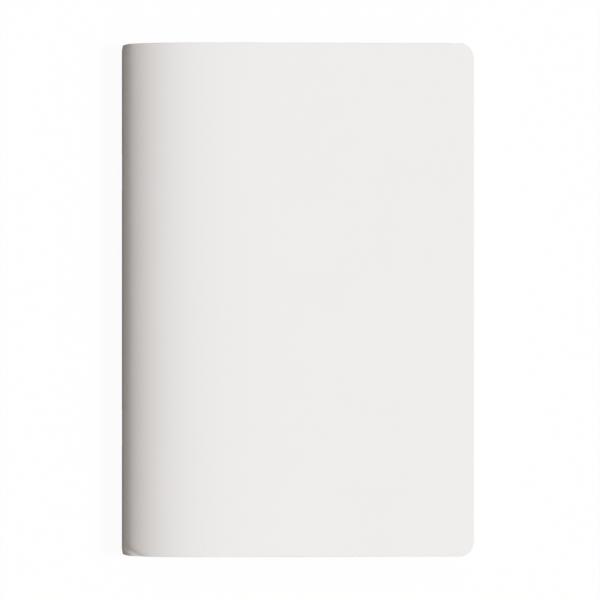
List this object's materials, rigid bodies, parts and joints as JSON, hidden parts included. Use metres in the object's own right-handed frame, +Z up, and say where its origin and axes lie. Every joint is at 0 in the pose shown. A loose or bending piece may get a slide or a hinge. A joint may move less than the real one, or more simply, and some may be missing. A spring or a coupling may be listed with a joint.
{
  "type": "stapled exercise book",
  "caption": "Plain white soft-cover exercise book with round fore-edge corners: nested folded sheets wire-stapled through the spine fold, opening at the middle sheet.",
  "frame": {"origin": "centre of the closed book's footprint, on the surface it lies on", "axes": "+X from the spine to the fore-edge, +Y from foot to head along the spine, +Z up out of the front cover"},
  "size_m": [0.145, 0.21, 0.0098],
  "materials": {
    "cover_card": "matte",
    "page_paper": "matte",
    "staple_wire": "satin"
  },
  "bodies": {
    "rear_cover": {"rear_cover": "cover_card"},
    "front_cover": {"front_cover": "cover_card"},
    "spine": {"cover_spine": "cover_card", "sheet_folds": "page_paper", "upper_staple": "staple_wire", "lower_staple": "staple_wire"},
    "rear_leaf_01": {"rear_leaf_01": "page_paper"},
    "front_leaf_01": {"front_leaf_01": "page_paper"},
    "rear_leaf_02": {"rear_leaf_02": "page_paper"},
    "front_leaf_02": {"front_leaf_02": "page_paper"},
    "rear_leaf_03": {"rear_leaf_03": "page_paper"},
    "front_leaf_03": {"front_leaf_03": "page_paper"},
    "rear_leaf_04": {"rear_leaf_04": "page_paper"},
    "front_leaf_04": {"front_leaf_04": "page_paper"},
    "rear_leaf_05": {"rear_leaf_05": "page_paper"},
    "front_leaf_05": {"front_leaf_05": "page_paper"},
    "rear_leaf_06": {"rear_leaf_06": "page_paper"},
    "front_leaf_06": {"front_leaf_06": "page_paper"},
    "rear_leaf_07": {"rear_leaf_07": "page_paper"},
    "front_leaf_07": {"front_leaf_07": "page_paper"},
    "rear_leaf_08": {"rear_leaf_08": "page_paper"},
    "front_leaf_08": {"front_leaf_08": "page_paper"},
    "rear_leaf_09": {"rear_leaf_09": "page_paper"},
    "front_leaf_09": {"front_leaf_09": "page_paper"},
    "rear_leaf_10": {"rear_leaf_10": "page_paper"},
    "front_leaf_10": {"front_leaf_10": "page_paper"},
    "rear_leaf_11": {"rear_leaf_11": "page_paper"},
    "front_leaf_11": {"front_leaf_11": "page_paper"},
    "rear_leaf_12": {"rear_leaf_12": "page_paper"},
    "front_leaf_12": {"front_leaf_12": "page_paper"},
    "rear_leaf_13": {"rear_leaf_13": "page_paper"},
    "front_leaf_13": {"front_leaf_13": "page_paper"},
    "rear_leaf_14": {"rear_leaf_14": "page_paper"},
    "front_leaf_14": {"front_leaf_14": "page_paper"},
    "rear_leaf_15": {"rear_leaf_15": "page_paper"},
    "front_leaf_15": {"front_leaf_15": "page_paper"},
    "rear_leaf_16": {"rear_leaf_16": "page_paper"},
    "front_leaf_16": {"front_leaf_16": "page_paper"},
    "rear_leaf_17": {"rear_leaf_17": "page_paper"},
    "front_leaf_17": {"front_leaf_17": "page_paper"},
    "rear_leaf_18": {"rear_leaf_18": "page_paper"},
    "front_leaf_18": {"front_leaf_18": "page_paper"},
    "rear_leaf_19": {"rear_leaf_19": "page_paper"},
    "front_leaf_19": {"front_leaf_19": "page_paper"},
    "rear_leaf_20": {"rear_leaf_20": "page_paper"},
    "front_leaf_20": {"front_leaf_20": "page_paper"}
  },
  "joints": [
    {"name": "front_cover_hinge", "type": "hinge", "parent": "rear_cover", "child": "front_cover", "pos_m": [-0.06968, 0, 0.00282], "axis": [0, -1, 0], "range_deg": [0, 155], "deforming": ["cover_spine", "sheet_folds"]},
    {"name": "spine_hinge", "type": "hinge", "parent": "rear_cover", "child": "spine", "pos_m": [-0.06968, 0, 0.00282], "axis": [0, -1, 0], "range_deg": [0, 92.45]},
    {"name": "rear_leaf_01_hinge", "type": "hinge", "parent": "rear_cover", "child": "rear_leaf_01", "pos_m": [-0.06968, 0, 0.00282], "axis": [0, -1, 0], "range_deg": [0, 155]},
    {"name": "front_leaf_01_hinge", "type": "hinge", "parent": "rear_leaf_01", "child": "front_leaf_01", "pos_m": [-0.06968, 0, 0.00282], "axis": [0, -1, 0], "range_deg": [0, 155]},
    {"name": "rear_leaf_02_hinge", "type": "hinge", "parent": "rear_cover", "child": "rear_leaf_02", "pos_m": [-0.06968, 0, 0.00282], "axis": [0, -1, 0], "range_deg": [0, 155]},
    {"name": "front_leaf_02_hinge", "type": "hinge", "parent": "rear_leaf_02", "child": "front_leaf_02", "pos_m": [-0.06968, 0, 0.00282], "axis": [0, -1, 0], "range_deg": [0, 155]},
    {"name": "rear_leaf_03_hinge", "type": "hinge", "parent": "rear_cover", "child": "rear_leaf_03", "pos_m": [-0.06968, 0, 0.00282], "axis": [0, -1, 0], "range_deg": [0, 155]},
    {"name": "front_leaf_03_hinge", "type": "hinge", "parent": "rear_leaf_03", "child": "front_leaf_03", "pos_m": [-0.06968, 0, 0.00282], "axis": [0, -1, 0], "range_deg": [0, 155]},
    {"name": "rear_leaf_04_hinge", "type": "hinge", "parent": "rear_cover", "child": "rear_leaf_04", "pos_m": [-0.06968, 0, 0.00282], "axis": [0, -1, 0], "range_deg": [0, 155]},
    {"name": "front_leaf_04_hinge", "type": "hinge", "parent": "rear_leaf_04", "child": "front_leaf_04", "pos_m": [-0.06968, 0, 0.00282], "axis": [0, -1, 0], "range_deg": [0, 155]},
    {"name": "rear_leaf_05_hinge", "type": "hinge", "parent": "rear_cover", "child": "rear_leaf_05", "pos_m": [-0.06968, 0, 0.00282], "axis": [0, -1, 0], "range_deg": [0, 155]},
    {"name": "front_leaf_05_hinge", "type": "hinge", "parent": "rear_leaf_05", "child": "front_leaf_05", "pos_m": [-0.06968, 0, 0.00282], "axis": [0, -1, 0], "range_deg": [0, 155]},
    {"name": "rear_leaf_06_hinge", "type": "hinge", "parent": "rear_cover", "child": "rear_leaf_06", "pos_m": [-0.06968, 0, 0.00282], "axis": [0, -1, 0], "range_deg": [0, 155]},
    {"name": "front_leaf_06_hinge", "type": "hinge", "parent": "rear_leaf_06", "child": "front_leaf_06", "pos_m": [-0.06968, 0, 0.00282], "axis": [0, -1, 0], "range_deg": [0, 155]},
    {"name": "rear_leaf_07_hinge", "type": "hinge", "parent": "rear_cover", "child": "rear_leaf_07", "pos_m": [-0.06968, 0, 0.00282], "axis": [0, -1, 0], "range_deg": [0, 155]},
    {"name": "front_leaf_07_hinge", "type": "hinge", "parent": "rear_leaf_07", "child": "front_leaf_07", "pos_m": [-0.06968, 0, 0.00282], "axis": [0, -1, 0], "range_deg": [0, 155]},
    {"name": "rear_leaf_08_hinge", "type": "hinge", "parent": "rear_cover", "child": "rear_leaf_08", "pos_m": [-0.06968, 0, 0.00282], "axis": [0, -1, 0], "range_deg": [0, 155]},
    {"name": "front_leaf_08_hinge", "type": "hinge", "parent": "rear_leaf_08", "child": "front_leaf_08", "pos_m": [-0.06968, 0, 0.00282], "axis": [0, -1, 0], "range_deg": [0, 155]},
    {"name": "rear_leaf_09_hinge", "type": "hinge", "parent": "rear_cover", "child": "rear_leaf_09", "pos_m": [-0.06968, 0, 0.00282], "axis": [0, -1, 0], "range_deg": [0, 155]},
    {"name": "front_leaf_09_hinge", "type": "hinge", "parent": "rear_leaf_09", "child": "front_leaf_09", "pos_m": [-0.06968, 0, 0.00282], "axis": [0, -1, 0], "range_deg": [0, 155]},
    {"name": "rear_leaf_10_hinge", "type": "hinge", "parent": "rear_cover", "child": "rear_leaf_10", "pos_m": [-0.06968, 0, 0.00282], "axis": [0, -1, 0], "range_deg": [0, 155]},
    {"name": "front_leaf_10_hinge", "type": "hinge", "parent": "rear_leaf_10", "child": "front_leaf_10", "pos_m": [-0.06968, 0, 0.00282], "axis": [0, -1, 0], "range_deg": [0, 155]},
    {"name": "rear_leaf_11_hinge", "type": "hinge", "parent": "rear_cover", "child": "rear_leaf_11", "pos_m": [-0.06968, 0, 0.00282], "axis": [0, -1, 0], "range_deg": [0, 155]},
    {"name": "front_leaf_11_hinge", "type": "hinge", "parent": "rear_leaf_11", "child": "front_leaf_11", "pos_m": [-0.06968, 0, 0.00282], "axis": [0, -1, 0], "range_deg": [0, 155]},
    {"name": "rear_leaf_12_hinge", "type": "hinge", "parent": "rear_cover", "child": "rear_leaf_12", "pos_m": [-0.06968, 0, 0.00282], "axis": [0, -1, 0], "range_deg": [0, 155]},
    {"name": "front_leaf_12_hinge", "type": "hinge", "parent": "rear_leaf_12", "child": "front_leaf_12", "pos_m": [-0.06968, 0, 0.00282], "axis": [0, -1, 0], "range_deg": [0, 155]},
    {"name": "rear_leaf_13_hinge", "type": "hinge", "parent": "rear_cover", "child": "rear_leaf_13", "pos_m": [-0.06968, 0, 0.00282], "axis": [0, -1, 0], "range_deg": [0, 155]},
    {"name": "front_leaf_13_hinge", "type": "hinge", "parent": "rear_leaf_13", "child": "front_leaf_13", "pos_m": [-0.06968, 0, 0.00282], "axis": [0, -1, 0], "range_deg": [0, 155]},
    {"name": "rear_leaf_14_hinge", "type": "hinge", "parent": "rear_cover", "child": "rear_leaf_14", "pos_m": [-0.06968, 0, 0.00282], "axis": [0, -1, 0], "range_deg": [0, 155]},
    {"name": "front_leaf_14_hinge", "type": "hinge", "parent": "rear_leaf_14", "child": "front_leaf_14", "pos_m": [-0.06968, 0, 0.00282], "axis": [0, -1, 0], "range_deg": [0, 155]},
    {"name": "rear_leaf_15_hinge", "type": "hinge", "parent": "rear_cover", "child": "rear_leaf_15", "pos_m": [-0.06968, 0, 0.00282], "axis": [0, -1, 0], "range_deg": [0, 155]},
    {"name": "front_leaf_15_hinge", "type": "hinge", "parent": "rear_leaf_15", "child": "front_leaf_15", "pos_m": [-0.06968, 0, 0.00282], "axis": [0, -1, 0], "range_deg": [0, 155]},
    {"name": "rear_leaf_16_hinge", "type": "hinge", "parent": "rear_cover", "child": "rear_leaf_16", "pos_m": [-0.06968, 0, 0.00282], "axis": [0, -1, 0], "range_deg": [0, 155]},
    {"name": "front_leaf_16_hinge", "type": "hinge", "parent": "rear_leaf_16", "child": "front_leaf_16", "pos_m": [-0.06968, 0, 0.00282], "axis": [0, -1, 0], "range_deg": [0, 155]},
    {"name": "rear_leaf_17_hinge", "type": "hinge", "parent": "rear_cover", "child": "rear_leaf_17", "pos_m": [-0.06968, 0, 0.00282], "axis": [0, -1, 0], "range_deg": [0, 155]},
    {"name": "front_leaf_17_hinge", "type": "hinge", "parent": "rear_leaf_17", "child": "front_leaf_17", "pos_m": [-0.06968, 0, 0.00282], "axis": [0, -1, 0], "range_deg": [0, 155]},
    {"name": "rear_leaf_18_hinge", "type": "hinge", "parent": "rear_cover", "child": "rear_leaf_18", "pos_m": [-0.06968, 0, 0.00282], "axis": [0, -1, 0], "range_deg": [0, 155]},
    {"name": "front_leaf_18_hinge", "type": "hinge", "parent": "rear_leaf_18", "child": "front_leaf_18", "pos_m": [-0.06968, 0, 0.00282], "axis": [0, -1, 0], "range_deg": [0, 155]},
    {"name": "rear_leaf_19_hinge", "type": "hinge", "parent": "rear_cover", "child": "rear_leaf_19", "pos_m": [-0.06968, 0, 0.00282], "axis": [0, -1, 0], "range_deg": [0, 155]},
    {"name": "front_leaf_19_hinge", "type": "hinge", "parent": "rear_leaf_19", "child": "front_leaf_19", "pos_m": [-0.06968, 0, 0.00282], "axis": [0, -1, 0], "range_deg": [0, 155]},
    {"name": "rear_leaf_20_hinge", "type": "hinge", "parent": "rear_cover", "child": "rear_leaf_20", "pos_m": [-0.06968, 0, 0.00282], "axis": [0, -1, 0], "range_deg": [0, 155]},
    {"name": "front_leaf_20_hinge", "type": "hinge", "parent": "rear_leaf_20", "child": "front_leaf_20", "pos_m": [-0.06968, 0, 0.00282], "axis": [0, -1, 0], "range_deg": [0, 155]}
  ],
  "couplings": [
    {"joint": "spine_hinge", "follows": "front_cover_hinge", "ratio": 0.59},
    {"joint": "rear_leaf_01_hinge", "follows": "front_cover_hinge", "ratio": 0.0008},
    {"joint": "front_leaf_01_hinge", "follows": "front_cover_hinge", "ratio": 0.9984},
    {"joint": "rear_leaf_02_hinge", "follows": "front_cover_hinge", "ratio": 0.0016},
    {"joint": "front_leaf_02_hinge", "follows": "front_cover_hinge", "ratio": 0.9968},
    {"joint": "rear_leaf_03_hinge", "follows": "front_cover_hinge", "ratio": 0.0024},
    {"joint": "front_leaf_03_hinge", "follows": "front_cover_hinge", "ratio": 0.9952},
    {"joint": "rear_leaf_04_hinge", "follows": "front_cover_hinge", "ratio": 0.0032},
    {"joint": "front_leaf_04_hinge", "follows": "front_cover_hinge", "ratio": 0.9936},
    {"joint": "rear_leaf_05_hinge", "follows": "front_cover_hinge", "ratio": 0.004},
    {"joint": "front_leaf_05_hinge", "follows": "front_cover_hinge", "ratio": 0.992},
    {"joint": "rear_leaf_06_hinge", "follows": "front_cover_hinge", "ratio": 0.0048},
    {"joint": "front_leaf_06_hinge", "follows": "front_cover_hinge", "ratio": 0.9904},
    {"joint": "rear_leaf_07_hinge", "follows": "front_cover_hinge", "ratio": 0.0056},
    {"joint": "front_leaf_07_hinge", "follows": "front_cover_hinge", "ratio": 0.9888},
    {"joint": "rear_leaf_08_hinge", "follows": "front_cover_hinge", "ratio": 0.0064},
    {"joint": "front_leaf_08_hinge", "follows": "front_cover_hinge", "ratio": 0.9872},
    {"joint": "rear_leaf_09_hinge", "follows": "front_cover_hinge", "ratio": 0.0072},
    {"joint": "front_leaf_09_hinge", "follows": "front_cover_hinge", "ratio": 0.9856},
    {"joint": "rear_leaf_10_hinge", "follows": "front_cover_hinge", "ratio": 0.008},
    {"joint": "front_leaf_10_hinge", "follows": "front_cover_hinge", "ratio": 0.984},
    {"joint": "rear_leaf_11_hinge", "follows": "front_cover_hinge", "ratio": 0.0088},
    {"joint": "front_leaf_11_hinge", "follows": "front_cover_hinge", "ratio": 0.9824},
    {"joint": "rear_leaf_12_hinge", "follows": "front_cover_hinge", "ratio": 0.0096},
    {"joint": "front_leaf_12_hinge", "follows": "front_cover_hinge", "ratio": 0.9808},
    {"joint": "rear_leaf_13_hinge", "follows": "front_cover_hinge", "ratio": 0.0104},
    {"joint": "front_leaf_13_hinge", "follows": "front_cover_hinge", "ratio": 0.9792},
    {"joint": "rear_leaf_14_hinge", "follows": "front_cover_hinge", "ratio": 0.0112},
    {"joint": "front_leaf_14_hinge", "follows": "front_cover_hinge", "ratio": 0.9776},
    {"joint": "rear_leaf_15_hinge", "follows": "front_cover_hinge", "ratio": 0.012},
    {"joint": "front_leaf_15_hinge", "follows": "front_cover_hinge", "ratio": 0.976},
    {"joint": "rear_leaf_16_hinge", "follows": "front_cover_hinge", "ratio": 0.0128},
    {"joint": "front_leaf_16_hinge", "follows": "front_cover_hinge", "ratio": 0.9744},
    {"joint": "rear_leaf_17_hinge", "follows": "front_cover_hinge", "ratio": 0.0136},
    {"joint": "front_leaf_17_hinge", "follows": "front_cover_hinge", "ratio": 0.9728},
    {"joint": "rear_leaf_18_hinge", "follows": "front_cover_hinge", "ratio": 0.0144},
    {"joint": "front_leaf_18_hinge", "follows": "front_cover_hinge", "ratio": 0.9712},
    {"joint": "rear_leaf_19_hinge", "follows": "front_cover_hinge", "ratio": 0.0152},
    {"joint": "front_leaf_19_hinge", "follows": "front_cover_hinge", "ratio": 0.9696},
    {"joint": "rear_leaf_20_hinge", "follows": "front_cover_hinge", "ratio": 0.016},
    {"joint": "front_leaf_20_hinge", "follows": "front_cover_hinge", "ratio": 0.968}
  ]
}
